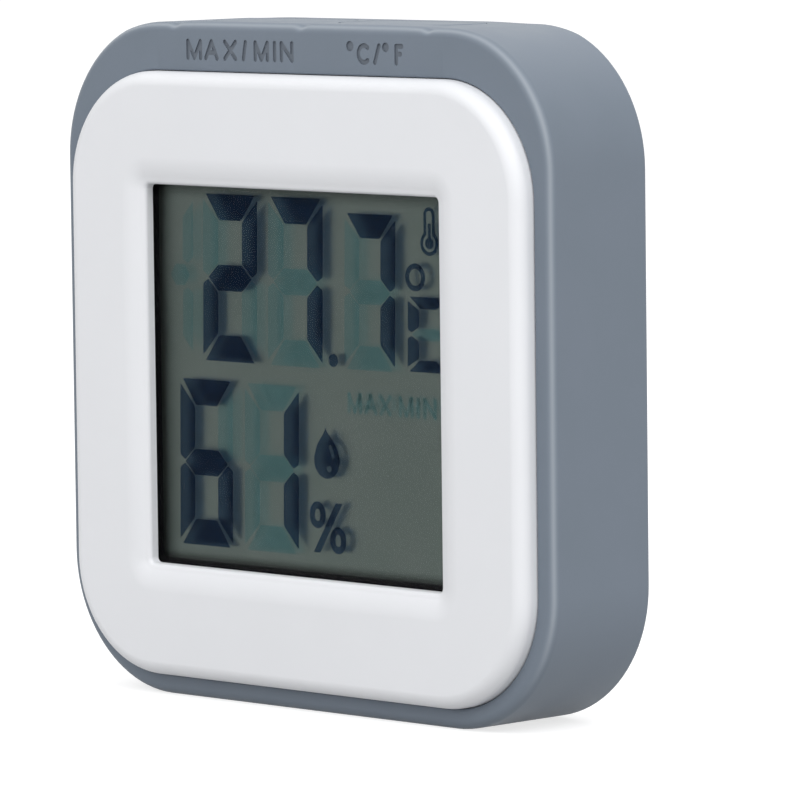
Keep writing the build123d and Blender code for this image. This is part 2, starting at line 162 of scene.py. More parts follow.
# Labels over the face, in millimetres: each letter with its left and right end, and the degree dots
LABEL_DEPTH = 0.12 * MM
LABEL_STROKE = 0.34
LABEL_SHIFT = -0.12
LABEL_FOOT = 45.27
LABEL_TOP = 46.77
LABEL_LETTERS = (
    ("M", -11.12, -9.50),
    ("A", -9.30, -7.82),
    ("X", -7.36, -5.95),
    ("/", -5.50, -4.94),
    ("M", -4.30, -2.75),
    ("I", -2.35, -2.03),
    ("N", -1.68, -0.30),
    ("C", 5.84, 7.28),
    ("/", 7.48, 8.24),
    ("F", 9.56, 10.42),
)
LABEL_DOTS = (((5.24, 46.53), 0.36), ((8.70, 46.51), 0.33))
LABEL_DOT_STEPS = 20

# Where a face of the sleeve counts as the inside of a letter
GROOVE_START = 0.02 * MM
GROOVE_END = 1.01 * LABEL_DEPTH
GROOVE_MARGIN = 0.1
GROOVE_REACH = 12 * MM

# Display layers
FILM_THICKNESS = 0.1 * MM
PANEL_FRONT = glass_high.y + 0.04 * MM
PANEL_BACK = reflector_high.y
SEGMENT_FRONT = film_low.y + FILM_THICKNESS + 0.01 * MM
SEGMENT_BACK = SEGMENT_FRONT + 0.02 * MM
BORDER_FOOT = 0.34 * MM
PANEL_PAST_WINDOW = 0.4 * MM
PANEL_PAST_LEFT = 0.02 * MM

# Digits, in millimetres on the display: left edge and foot, width and height,
# level and upright stroke, and the lit bars
DIGITS = (
    ((-9.66, 24.15), (5.45, 11.78), (1.84, 1.52), "abged"),
    ((-3.08, 24.15), (5.40, 11.78), (1.84, 1.52), "abc"),
    ((4.49, 24.25), (4.92, 10.8), (1.68, 1.42), "abc"),
    ((-12.28, 10.98), (5.36, 11.78), (1.84, 1.50), "afgecd"),
    ((-5.68, 10.98), (5.40, 11.78), (1.84, 1.50), "bc"),
)
UNIT_LETTER = ((10.64, 24.4), (3.9, 5.15), (0.82, 1.08), "afed")
ALL_SEGMENTS = "abcdefg"
SIGNS_SHIFT = -0.15
SLANT_DEGREES = 1.1
BAR_ROUND = 0.10
LEAST_EDGE_SHARE = 2.2

# The bars of a digit, in millimetres. The inset of a tip and the cut of a corner are those
# of a plain upright stroke, and grow with the stroke of the digit.
PLAIN_STROKE = 1.56
TIP_INSET = 0.55
CORNER_CUT = 0.26
MITRE_GAP = 0.12
UPPER_TIP_SHARE = 0.8

# Signs of the display, in millimetres
DECIMAL_POINT = ((3.40, 24.78), (0.46, 0.46))
DEGREE_PLACE = (11.46, 30.88)
DEGREE_RADII = ((0.96, 0.96), (0.58, 0.58))
TUBE_X = 12.85
TUBE_HALF = 0.53
TUBE_TOP = 35.72
BULB_PLACE = (12.86, 33.25)
BULB_RADIUS = 0.86
BULB_DOT_RADII = (0.40, 0.40)
BULB_STEPS = 28
THERMOMETER_WALL = 0.26
THREAD = (12.72, 33.6, 13.0, 34.6)
PERCENT_PLACES = ((1.66, 13.92), (3.66, 12.24))
PERCENT_RADII = ((0.80, 0.94), (0.28, 0.44))
PERCENT_STROKE = ((1.22, 11.3), (1.88, 11.3), (4.12, 14.84), (3.46, 14.84))
DROP_TIP = (2.54, 20.1)
DROP_PLACE = (2.64, 17.76)
DROP_RADIUS = 1.26
DROP_BOW = (28, -208)
DROP_STEPS = 36
DROP_SHARES = (0.85, 0.7, 0.5, 0.3, 0.12)
DROP_SWELL = 0.9
SLIT_OUTSIDE = ((2.62, 17.75), (0.80, 1.30), 62, 8, 8)
SLIT_INSIDE = ((2.52, 17.75), (0.60, 1.05), 8, 62, 8)
DROP_DOT = ((2.86, 17.2), (0.26, 0.22), 16)
UNLIT_SIGNS = (
    ((-11.62, 31.2), (-11.1, 30.95), (-10.55, 31.4), (-10.5, 35.3), (-11.56, 34.2)),
    ((-11.62, 29.0), (-11.1, 29.2), (-10.6, 28.8), (-10.72, 24.7), (-11.7, 25.8)),
    (
        (-12.9, 30.1),
        (-12.35, 30.85),
        (-11.45, 30.85),
        (-10.95, 30.1),
        (-11.45, 29.35),
        (-12.35, 29.35),
    ),
)
UNLIT_LETTERS = (
    ("M", 4.75, 6.15),
    ("A", 6.4, 7.65),
    ("X", 7.85, 9.05),
    ("M", 9.75, 11.15),
    ("I", 11.45, 11.75),
    ("N", 12.1, 13.4),
)
UNLIT_STROKE = 0.3
UNLIT_DROP = 24.1

# Noise in the materials: the range that it mostly keeps to, its roughness and its details
NOISE_RANGE = (0.3, 0.7)
NOISE_ROUGHNESS = 0.55
PLAIN_DETAIL = 3.0
FULL_DETAIL = 4.0
GRAIN_DETAIL = 2.0
FLECK_DETAIL = 1.0

# Silicone
SILICONE_DARK = (0.141, 0.172, 0.211)
SILICONE_LIGHT = (0.152, 0.182, 0.224)
SILICONE_ROUGH = (0.5, 0.62)
SILICONE_DRIFT = 5 * MM
SILICONE_GRAIN = 0.09 * MM
SILICONE_GRAIN_DEPTH = 0.0025 * MM
SILICONE_IOR = 1.41
SILICONE_SHEEN = 0.05
SHEEN_ROUGHNESS = 0.5
# Lighter colour of the rounded edges: partly wear, partly a painted highlight
RIDGE_WEAR_AND_HIGHLIGHT_COLOUR = (0.255, 0.288, 0.328)
SPECK_SPACING = 3.2 * MM
SPECK_SHARE = 0.022
SPECK_CHANCE = 0.10
SPECK_COLOUR = (0.5, 0.53, 0.56)

# Film and segments of the display
FILM_TINT = (1.0, 1.0, 1.0)
FILM_SHINE = 0.003
FILM_ROUGH = (0.10, 0.16)
FILM_CLOUD = 3 * MM
SEGMENT_CLOUD = 2 * MM
UNLIT_DARK = (0.84, 0.965, 0.99)
UNLIT_LIGHT = (0.86, 0.975, 1.0)
INK_DARK = (0.39, 0.49, 0.64)
INK_LIGHT = (0.43, 0.53, 0.68)

# Reflector panel, with painted shade near the window's edges. A shade runs between two distances
# from an edge of the window, and a fade gives the brightness at both.
PANEL_DARK = (0.072, 0.091, 0.083)
PANEL_LIGHT = (0.083, 0.101, 0.093)
PANEL_ROUGH = (0.36, 0.42)
PANEL_CLOUD = 6 * MM
PANEL_FLECK = 0.14 * MM
PANEL_FLECK_RANGE = (0.94, 1.06)
LEFT_SHADE = (-0.3 * MM, 1.9 * MM)
LEFT_FADE = (0.85, 1.0)
FOOT_SHADE = (BORDER_FOOT, 1.1 * MM)
FOOT_FADE = (0.3, 1.0)
TOP_SHADE = (0, -1.2 * MM)
TOP_FADE = (0.5, 1.0)

# Moulded finishes: name, darker and lighter colour, roughness, and size of the colour's drift
# Groove colour: a darker silicone, painted shade inside the engraved letters
GROOVE_SHADE = ("silicone groove", (0.106, 0.126, 0.154), (0.116, 0.136, 0.165), (0.6, 0.7), 1 * MM)
WHITE = ("white plastic", (0.712, 0.722, 0.748), (0.726, 0.736, 0.762), (0.44, 0.50), 8 * MM)
BORDER = ("display border", (0.003, 0.003, 0.004), (0.005, 0.005, 0.006), (0.6, 0.7), 2 * MM)
BOARD = ("solder mask", (0.01, 0.10, 0.04), (0.02, 0.14, 0.06), (0.3, 0.4), 1.5 * MM)
RESIN = ("black resin", (0.012, 0.012, 0.014), (0.02, 0.02, 0.022), (0.4, 0.5), 1 * MM)
RUBBER = ("strip rubber", (0.50, 0.28, 0.26), (0.56, 0.33, 0.30), (0.6, 0.7), 0.5 * MM)
STEM = ("cream plastic", (0.62, 0.55, 0.36), (0.66, 0.60, 0.42), (0.4, 0.5), 1 * MM)
GLASS = ("display glass", (0.30, 0.36, 0.34), (0.34, 0.40, 0.38), (0.1, 0.15), 3 * MM)
MOULDED_GRAIN = 0.12 * MM
MOULDED_GRAIN_DEPTH = 0.002 * MM
MOULDED_GLOSS = 0.5
WHITE_GRAIN = 0.15 * MM
WHITE_GRAIN_DEPTH = 0.0015 * MM
BORDER_GLOSS = 0.05

# Metal
STEEL_COLOUR = (0.70, 0.70, 0.71)
STEEL_ROUGH = (0.2, 0.32)
STEEL_DULL_SHARE = 0.85
STEEL_STREAK = 0.4 * MM
STEEL_GRAIN = 0.05 * MM
STEEL_GRAIN_DEPTH = 0.001 * MM

# Floor and light. Each lamp: name, azimuth and elevation in degrees, size, and power in watts
FLOOR_REACH = 3.0
FLOOR_SEEN = 0.45
FLOOR_LIFT = 0.72
FLOOR_BOUNCE = 0.47
WORLD_LIGHT = 0.78
WORLD_SEEN = 1.0
PLAIN_WHITE = (1, 1, 1, 1)
LAMP_DISTANCE = 0.62
LAMPS = (
    ("front light", 5, 38, 0.45, 0.88),
    ("side light", 65, 46, 0.45, 1.90),
    ("low light", 47, 8, 0.3, 0.30),
    ("back light", 200, 50, 0.45, 0.66),
)

# Camera, as fitted to the photograph
CAMERA_AZIMUTH = 44.879
CAMERA_ELEVATION = 5.179
CAMERA_ROLL = -0.687
CAMERA_DISTANCE = 467.636 * MM
CAMERA_ACROSS = 3.227 * MM
CAMERA_TARGET_Z = 21.4425 * MM
CAMERA_BASE_Z = 24.0 * MM
CLIP_START = 0.05
CLIP_END = 20
SENSOR = 36.0
FOCAL_PIXELS = 6673.939
PHOTO_PIXELS = 800


# Curves and outlines
def eased(value):
    """A smooth step from 0 to 1."""
    value = min(max(value, 0), 1)
    return value * value * (3 - 2 * value)


def bell(offset, width):
    """1 at no offset, falling smoothly to 0 on both sides."""
    return math.exp(-((offset / width) ** 2))


def quarter_turn(steps, first=0):
    """1 - cosine and 1 - sine at even steps through a quarter turn."""
    for step in range(first, steps + 1):
        turn = math.radians(90 * step / steps)
        yield 1 - math.cos(turn), 1 - math.sin(turn)


def outline(across, tall, corner, middle):
    """Points in X and Z round a rounded rectangle, as many for every size."""
    half_x = across / 2 - corner
    half_z = tall / 2 - corner

    def on_corner(side, end, degrees):
        angle = math.radians(degrees)
        return (
            side * half_x + corner * math.cos(angle),
            middle + end * half_z + corner * math.sin(angle),
        )

    points = []
    for number, (side, end, first) in enumerate(CORNERS):
        for step in range(CORNER_STEPS + 1):
            points.append(on_corner(side, end, first + 90 * step / CORNER_STEPS))
        here = points[-1]
        there = on_corner(*CORNERS[(number + 1) % 4])
        steps = STEPS_AFTER_CORNER[number]
        for step in range(1, steps):
            share = step / steps
            points.append(
                (here[0] + (there[0] - here[0]) * share, here[1] + (there[1] - here[1]) * share)
            )
    return points


def grown(across, tall, corner, middle, by):
    """The outline of the same rounded rectangle, larger on every side by an amount."""
    return outline(across + 2 * by, tall + 2 * by, max(corner + by, SMALLEST_CORNER), middle)


def at_depth(points, y, aside=0.0):
    """An outline set upright at depth y, and a little aside of the middle."""
    return [(x + aside, y, z) for x, z in points]


def rectangle(x0, z0, x1, z1):
    """A loop round a rectangle."""
    return [(x0, z0), (x1, z0), (x1, z1), (x0, z1)]


def arc(centre, radii, first, last, steps):
    """Points on an ellipse between two angles in degrees."""
    points = []
    for i in range(steps + 1):
        angle = math.radians(first + (last - first) * i / steps)
        points.append(
            (centre[0] + radii[0] * math.cos(angle), centre[1] + radii[1] * math.sin(angle))
        )
    return points


def disc(centre, radii, steps=DISC_STEPS):
    """A closed ellipse."""
    return arc(centre, radii, 0, 360, steps)[:-1]


def softened(points, radius):
    """A loop of points with its corners rounded off."""
    loop = []
    count = len(points)
    for i in range(count):
        here = Vector(points[i])
        before = Vector(points[i - 1]) - here
        after = Vector(points[(i + 1) % count]) - here
        reach = min(radius, before.length / LEAST_EDGE_SHARE, after.length / LEAST_EDGE_SHARE)
        first = here + before.normalized() * reach
        last = here + after.normalized() * reach
        for step in range(SOFT_STEPS + 1):
            share = step / SOFT_STEPS
            point = first * (1 - share) ** 2 + here * 2 * share * (1 - share) + last * share**2
            loop.append((point.x, point.y))
    return loop


def in_mm(points, shift=0.0):
    """Points given in millimetres, in metres, moved sideways by some millimetres."""
    return [((x + shift) * MM, z * MM) for x, z in points]


def on_display(points):
    """Points of a sign, in millimetres as read in the picture plane, in metres on its layer."""
    return in_mm(points, SIGNS_SHIFT)


# Meshes
def mesh_object(name, verts, faces):
    """A new object from points and faces, with its faces turned outwards."""
    mesh = bpy.data.meshes.new(name)
    mesh.from_pydata([Vector(v) for v in verts], [], faces)
    solid = bmesh.new()
    solid.from_mesh(mesh)
    bmesh.ops.recalc_face_normals(solid, faces=solid.faces)
    solid.to_mesh(mesh)
    solid.free()
    piece = bpy.data.objects.new(name, mesh)
    bpy.context.scene.collection.objects.link(piece)
    return piece


def skin(faces, count, levels, closed, first=0):
    """Adds the faces between rings of points, and from the last ring to the first if closed."""
    for level in range(levels if closed else levels - 1):
        low = first + level * count
        high = first + (level + 1) % levels * count
        for i in range(count):
            j = (i + 1) % count
            faces.append((low + i, low + j, high + j, high + i))


def lofted(name, rings, closed=True):
    """A skin through rings of points. One that isn't closed has a flat face at each end."""
    count = len(rings[0])
    verts = [point for ring in rings for point in ring]
    faces = []
    skin(faces, count, len(rings), closed)
    if not closed:
        faces.append(tuple(range(count)))
        faces.append(tuple((len(rings) - 1) * count + i for i in range(count)))
    return mesh_object(name, verts, faces)


def prism(loop, low, high, verts, faces):
    """Adds to a list of points and faces the solid between two copies of a loop of points."""
    first = len(verts)
    count = len(loop)
    verts.extend(low(point) for point in loop)
    verts.extend(high(point) for point in loop)
    faces.append(tuple(first + i for i in range(count)))
    faces.append(tuple(first + count + i for i in range(count)))
    skin(faces, count, 2, False, first)


def upright_prisms(name, loops, front, back, rings=()):
    """One object of thin upright solids.

    The loops of points in X and Z give full ones, and the pairs of loops give rings.
    """
    verts, faces = [], []
    for loop in loops:
        prism(loop, lambda p: (p[0], front, p[1]), lambda p: (p[0], back, p[1]), verts, faces)
    for outer, inner in rings:
        first = len(verts)
        sides = ((outer, front), (outer, back), (inner, back), (inner, front))
        for loop, y in sides:
            verts.extend((x, y, z) for x, z in loop)
        skin(faces, len(outer), len(sides), True, first)
    return mesh_object(name, verts, faces)


def shaded(piece):
    """Smooth shading that keeps sharp edges, with flat faces kept flat."""
    for polygon in piece.data.polygons:
        polygon.use_smooth = True
    piece.data.set_sharp_from_angle(angle=math.radians(SHARP_DEGREES))
    weights = piece.modifiers.new("weighted normals", "WEIGHTED_NORMAL")
    weights.keep_sharp = True
    weights.weight = LARGE_FACE_WEIGHT
    return piece


def cut(piece, cutter):
    """Takes the cutter's space out of the piece, for good."""
    tool = piece.modifiers.new("cut", "BOOLEAN")
    tool.operation = "DIFFERENCE"
    tool.solver = "EXACT"
    tool.use_self = True
    tool.object = cutter
    graph = bpy.context.evaluated_depsgraph_get()
    made = bpy.data.meshes.new_from_object(piece.evaluated_get(graph))
    piece.modifiers.remove(tool)
    piece.data = made
    bpy.data.objects.remove(cutter)


# Materials
def material(name):
    """A new node material, with its nodes, its links and its main shader."""
    made = bpy.data.materials.new(name)
    made.use_nodes = True
    nodes, links = made.node_tree.nodes, made.node_tree.links
    return made, nodes, links, nodes["Principled BSDF"]


def put(links, socket, value):
    """Sets an input, or links it if the value is an output of another node."""
    if isinstance(value, bpy.types.NodeSocket):
        links.new(value, socket)
    else:
        socket.default_value = value


def calculated(nodes, links, operation, first, second):
    """The result of a math node on two values."""
    node = nodes.new("ShaderNodeMath")
    node.operation = operation
    put(links, node.inputs[0], first)
    put(links, node.inputs[1], second)
    return node.outputs["Value"]


def blended(nodes, links, factor, first, second):
    """A colour between two others."""
    mix = nodes.new("ShaderNodeMix")
    mix.data_type = "RGBA"
    put(links, mix.inputs["Factor"], factor)
    put(links, mix.inputs["A"], first)
    put(links, mix.inputs["B"], second)
    return mix.outputs["Result"]


def mixed_shader(nodes, links, factor, first, second):
    """A shader between two others."""
    mix = nodes.new("ShaderNodeMixShader")
    put(links, mix.inputs["Fac"], factor)
    links.new(first, mix.inputs[1])
    links.new(second, mix.inputs[2])
    return mix.outputs["Shader"]


def mapped(nodes, links, source, before, after, curve="LINEAR"):
    """Maps one range of a value onto another."""
    mapping = nodes.new("ShaderNodeMapRange")
    mapping.interpolation_type = curve
    for name, value in zip(("From Min", "From Max", "To Min", "To Max"), (*before, *after)):
        mapping.inputs[name].default_value = value
    links.new(source, mapping.inputs["Value"])
    return mapping.outputs["Result"]


def object_noise(nodes, links, size, detail=PLAIN_DETAIL):
    """Noise whose lumps are about one size across, in the object's own space."""
    place = nodes.new("ShaderNodeTexCoord")
    noise = nodes.new("ShaderNodeTexNoise")
    noise.inputs["Scale"].default_value = 1 / size
    noise.inputs["Detail"].default_value = detail
    noise.inputs["Roughness"].default_value = NOISE_ROUGHNESS
    links.new(place.outputs["Object"], noise.inputs["Vector"])
    return noise.outputs["Fac"]


def spread(nodes, links, noise, low, high):
    """Maps noise onto a range."""
    return mapped(nodes, links, noise, NOISE_RANGE, (low, high))


def tinted(nodes, links, noise, dark, light):
    """A colour that drifts between two with noise."""
    return blended(nodes, links, spread(nodes, links, noise, 0, 1), (*dark, 1), (*light, 1))


def grained(nodes, links, shader, size, depth, detail=GRAIN_DETAIL):
    """A fine moulded grain, as bump."""
    bump = nodes.new("ShaderNodeBump")
    bump.inputs["Distance"].default_value = depth
    bump.inputs["Strength"].default_value = 1.0
    links.new(object_noise(nodes, links, size, detail), bump.inputs["Height"])
    links.new(bump.outputs["Normal"], shader.inputs["Normal"])


def moulded(
    name,
    dark,
    light,
    rough,
    drift,
    grain=MOULDED_GRAIN,
    depth=MOULDED_GRAIN_DEPTH,
    gloss=MOULDED_GLOSS,
):
    """Moulded plastic: colour and shine that drift a little, over a fine grain."""
    made, nodes, links, shader = material(name)
    shader.inputs["Specular IOR Level"].default_value = gloss
    cloud = object_noise(nodes, links, drift)
    links.new(tinted(nodes, links, cloud, dark, light), shader.inputs["Base Color"])
    links.new(spread(nodes, links, cloud, *rough), shader.inputs["Roughness"])
    grained(nodes, links, shader, grain, depth)
    return made


def specks(nodes, links):
    """1 on a few small specks, and 0 elsewhere."""
    place = nodes.new("ShaderNodeTexCoord")
    cells = nodes.new("ShaderNodeTexVoronoi")
    cells.inputs["Scale"].default_value = 1 / SPECK_SPACING
    links.new(place.outputs["Object"], cells.inputs["Vector"])
    parts = nodes.new("ShaderNodeSeparateColor")
    links.new(cells.outputs["Color"], parts.inputs["Color"])
    near = calculated(nodes, links, "LESS_THAN", cells.outputs["Distance"], SPECK_SHARE)
    chosen = calculated(nodes, links, "LESS_THAN", parts.outputs["Red"], SPECK_CHANCE)
    return calculated(nodes, links, "MULTIPLY", near, chosen)


def silicone(name):
    """Matt grey silicone with a fine skin, a soft sheen, rubbed edges lighter for wear and a
    painted highlight, and a few specks of dust.
    """
    made, nodes, links, shader = material(name)
    shader.inputs["IOR"].default_value = SILICONE_IOR
    shader.inputs["Sheen Weight"].default_value = SILICONE_SHEEN
    shader.inputs["Sheen Roughness"].default_value = SHEEN_ROUGHNESS
    cloud = object_noise(nodes, links, SILICONE_DRIFT, FULL_DETAIL)
    plain = tinted(nodes, links, cloud, SILICONE_DARK, SILICONE_LIGHT)
    ridge = nodes.new("ShaderNodeAttribute")
    ridge.attribute_name = RIDGE_NAME
    # Rounded edges lighter: partly wear, partly a painted highlight, fading out towards the foot
    rubbed_and_highlit = blended(nodes, links, ridge.outputs["Fac"], plain, (*RIDGE_WEAR_AND_HIGHLIGHT_COLOUR, 1))
    dusty = blended(nodes, links, specks(nodes, links), rubbed_and_highlit, (*SPECK_COLOUR, 1))
    links.new(dusty, shader.inputs["Base Color"])
    links.new(spread(nodes, links, cloud, *SILICONE_ROUGH), shader.inputs["Roughness"])
    grained(nodes, links, shader, SILICONE_GRAIN, SILICONE_GRAIN_DEPTH, PLAIN_DETAIL)
    return made


def clear_film(name):
    """The clear front film of the display, with a soft and faint reflection."""
    made, nodes, links, shader = material(name)
    nodes.remove(shader)
    clear = nodes.new("ShaderNodeBsdfTransparent")
    clear.inputs["Color"].default_value = (*FILM_TINT, 1)
    gloss = nodes.new("ShaderNodeBsdfGlossy")
    cloud = object_noise(nodes, links, FILM_CLOUD)
    links.new(spread(nodes, links, cloud, *FILM_ROUGH), gloss.inputs["Roughness"])
    both = mixed_shader(nodes, links, FILM_SHINE, clear.outputs["BSDF"], gloss.outputs["BSDF"])
    links.new(both, nodes["Material Output"].inputs["Surface"])
    return made


def see_through(name, dark, light):
    """A clear layer that tints what lies behind it a little unevenly."""
    made, nodes, links, shader = material(name)
    nodes.remove(shader)
    clear = nodes.new("ShaderNodeBsdfTransparent")
    cloud = object_noise(nodes, links, SEGMENT_CLOUD)
    links.new(tinted(nodes, links, cloud, dark, light), clear.inputs["Color"])
    links.new(clear.outputs["BSDF"], nodes["Material Output"].inputs["Surface"])
    return made


def display_panel(name):
    """The grey-green reflector of the display, darker towards the window's edges with painted
    shade, and with a fine sparkle.
    """
    made, nodes, links, shader = material(name)
    place = nodes.new("ShaderNodeTexCoord")
    axes = nodes.new("ShaderNodeSeparateXYZ")
    links.new(place.outputs["Object"], axes.inputs["Vector"])
    # Painted shade: the colour darkens towards the left, foot and top edges of the window
    edges = (
        ("X", WINDOW_LEFT, LEFT_SHADE, LEFT_FADE),
        ("Z", WINDOW_FOOT, FOOT_SHADE, FOOT_FADE),
        ("Z", WINDOW_TOP, TOP_SHADE, TOP_FADE),
    )
    fades = [
        mapped(
            nodes, links, axes.outputs[axis], (edge + start, edge + end), fade, "SMOOTHSTEP"
        )
        for axis, edge, (start, end), fade in edges
    ]
    cloud = object_noise(nodes, links, PANEL_CLOUD)
    grain = object_noise(nodes, links, PANEL_FLECK, FLECK_DETAIL)
    fades.append(spread(nodes, links, grain, *PANEL_FLECK_RANGE))
    colour = tinted(nodes, links, cloud, PANEL_DARK, PANEL_LIGHT)
    for fade in fades:
        scaled = nodes.new("ShaderNodeVectorMath")
        scaled.operation = "SCALE"
        links.new(colour, scaled.inputs["Vector"])
        links.new(fade, scaled.inputs["Scale"])
        colour = scaled.outputs["Vector"]
    links.new(colour, shader.inputs["Base Color"])
    links.new(spread(nodes, links, cloud, *PANEL_ROUGH), shader.inputs["Roughness"])
    shader.inputs["Metallic"].default_value = 1.0
    return made


def metal(name):
    """Bright plated metal with fine streaks in its shine."""
    made, nodes, links, shader = material(name)
    shader.inputs["Metallic"].default_value = 1.0
    cloud = object_noise(nodes, links, STEEL_STREAK, FULL_DETAIL)
    dull = tuple(STEEL_DULL_SHARE * part for part in STEEL_COLOUR)
    links.new(tinted(nodes, links, cloud, dull, STEEL_COLOUR), shader.inputs["Base Color"])
    links.new(spread(nodes, links, cloud, *STEEL_ROUGH), shader.inputs["Roughness"])
    grained(nodes, links, shader, STEEL_GRAIN, STEEL_GRAIN_DEPTH)
    return made


silicone_finish = silicone("grey silicone")
groove_shade_finish = moulded(*GROOVE_SHADE)
white_finish = moulded(*WHITE, grain=WHITE_GRAIN, depth=WHITE_GRAIN_DEPTH)
ink_finish = see_through("dark segment", INK_DARK, INK_LIGHT)
unlit_finish = see_through("unlit segment", UNLIT_DARK, UNLIT_LIGHT)
film_finish = clear_film("display film")
panel_finish = display_panel("display panel")
border_finish = moulded(*BORDER, gloss=BORDER_GLOSS)

# The finish of each material slot of the record
FINISHES = {
    "grey_silicone": silicone_finish,
    "white_plastic": white_finish,
    "display_film": film_finish,
    "reflector_film": panel_finish,
    "glass": moulded(*GLASS),
    "strip_rubber": moulded(*RUBBER),
    "board_laminate": moulded(*BOARD),
    "black_resin": moulded(*RESIN),
    "stem_plastic": moulded(*STEM),
    "bright_steel": metal("bright steel"),
}

for part in frame["record"]["subparts"]:
    node = frame["nodes"][part["node"]]
    node.data.materials.clear()
    node.data.materials.append(FINISHES[part["material_slot"]])


def finished(piece, finish, body):
    """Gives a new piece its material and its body."""
    piece.data.materials.clear()
    piece.data.materials.append(finish)
    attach(piece, body)


# Letters
def stroke(start, end, width):
    """A round-ended stroke of a letter between two points, in millimetres."""
    lean = math.degrees(math.atan2(end[1] - start[1], end[0] - start[0]))
    radii = (width / 2, width / 2)
    far_end = arc(end, radii, lean - 90, lean + 90, STROKE_END_STEPS)
    return far_end + arc(start, radii, lean + 90, lean + 270, STROKE_END_STEPS)


def strokes_of(letter, left, right, width=LABEL_STROKE):
    """The strokes of one capital or slash between two places across, in millimetres."""
    inset = width / 2
    x0, x1 = left + inset, right - inset
    z0, z1 = LABEL_FOOT + inset, LABEL_TOP - inset
    middle = (x0 + x1) / 2
    half = (z0 + z1) / 2
    if letter == "C":
        bow = arc((middle + C_SHIFT, half), (x1 - middle, z1 - half), *C_BOW, BOW_STEPS)
        return [stroke(a, b, width) for a, b in zip(bow, bow[1:])]
    left_stem = ((x0, z0), (x0, z1))
    a_bar = z0 + A_BAR_RISE
    f_bar = half + F_BAR_RISE
    lines = {
        "M": [
            left_stem,
            ((x0, z1), (middle, z0)),
            ((middle, z0), (x1, z1)),
            ((x1, z1), (x1, z0)),
        ],
        "A": [
            ((x0, z0), (middle, z1)),
            ((middle, z1), (x1, z0)),
            ((x0 + A_BAR_INSET, a_bar), (x1 - A_BAR_INSET, a_bar)),
        ],
        "X": [((x0, z0), (x1, z1)), ((x0, z1), (x1, z0))],
        "/": [((x0, z0), (x1, z1))],
        "I": [((middle, z0), (middle, z1))],
        "N": [left_stem, ((x0, z1), (x1, z0)), ((x1, z0), (x1, z1))],
        "F": [left_stem, ((x0, z1), (x1, z1)), ((x0, f_bar), (x1 - F_BAR_SHORT, f_bar))],
    }
    return [stroke(a, b, width) for a, b in lines[letter]]


def label_loops():
    """Every stroke and dot of the two labels over the face."""
    loops = [loop for letter in LABEL_LETTERS for loop in strokes_of(*letter)]
    loops += [disc(place, (radius, radius), LABEL_DOT_STEPS) for place, radius in LABEL_DOTS]
    return [in_mm(loop, LABEL_SHIFT) for loop in loops]


# Sleeve and keys
def sleeve_rings():
    """Rings of the sleeve, from its front lip over the outside to its back lip and back inside."""
    face = (FACE_WIDTH, FACE_HEIGHT, FACE_CORNER, FACE_MIDDLE)
    outside = (SLEEVE_WIDTH, SLEEVE_HEIGHT, SLEEVE_CORNER, SLEEVE_MIDDLE)
    rings = [at_depth(grown(*face, LIP_GAP), SLEEVE_FRONT + SLEEVE_LIP)]
    for out, deep in quarter_turn(LIP_STEPS):
        lip = grown(*face, LIP_GAP + LIP_ROUND * out)
        rings.append(at_depth(lip, SLEEVE_FRONT + LIP_ROUND * deep))
    for deep, inset in quarter_turn(ROUND_STEPS):
        edge = grown(*outside, -FRONT_ROUND * inset)
        rings.append(at_depth(edge, SLEEVE_FRONT + FRONT_ROUND * deep))
    first = SLEEVE_FRONT + FRONT_ROUND
    last = SLEEVE_BACK - BACK_ROUND
    for row in range(1, SIDE_ROWS):
        rings.append(at_depth(grown(*outside, 0), first + (last - first) * row / SIDE_ROWS))
    for inset, short in quarter_turn(ROUND_STEPS):
        edge = grown(*outside, -BACK_ROUND * inset)
        rings.append(at_depth(edge, SLEEVE_BACK - BACK_ROUND * short))
    back_lip = grown(*outside, LIP_GAP - BACK_INSET)
    inside = grown(*outside, -SLEEVE_WALL)
    rings.append(at_depth(back_lip, SLEEVE_BACK))
    rings.append(at_depth(back_lip, SLEEVE_BACK - SLEEVE_LIP))
    rings.append(at_depth(inside, SLEEVE_BACK - SLEEVE_LIP))
    rings.append(at_depth(inside, SLEEVE_FRONT + SLEEVE_LIP))
    return rings


def inside_by(x, z):
    """How far a point in X and Z lies inside the outline of the sleeve."""
    past_x = abs(x) - SLEEVE_WIDTH / 2 + SLEEVE_CORNER
    past_z = abs(z - SLEEVE_MIDDLE) - SLEEVE_HEIGHT / 2 + SLEEVE_CORNER
    return SLEEVE_CORNER - math.hypot(max(past_x, 0), max(past_z, 0)) - min(max(past_x, past_z), 0)


def on_round(inset, depth, radius):
    """How near a point is to the middle of a rounded edge, from 0 to 1."""
    if inset > radius or depth > radius:
        return 0.0
    turn = math.degrees(math.atan2(radius - inset, radius - depth))
    return bell(turn - RIDGE_MIDDLE, RIDGE_SPREAD)


def mark_ridge_wear_and_highlight(piece):
    """Writes on the sleeve where its two rounded edges are lighter, for wear and a painted
    highlight.
    """
    marks = piece.data.attributes.new(RIDGE_NAME, "FLOAT", "POINT")
    for vertex, mark in zip(piece.data.vertices, marks.data):
        x, y, z = vertex.co
        inset = inside_by(x, z)
        front = on_round(inset, y - SLEEVE_FRONT, FRONT_ROUND)
        back = on_round(inset, SLEEVE_BACK - y, BACK_ROUND)
        risen = (z - RIDGE_FOOT) / (RIDGE_FULL - RIDGE_FOOT)
        mark.value = max(front, BACK_RIDGE * back) * eased(risen)


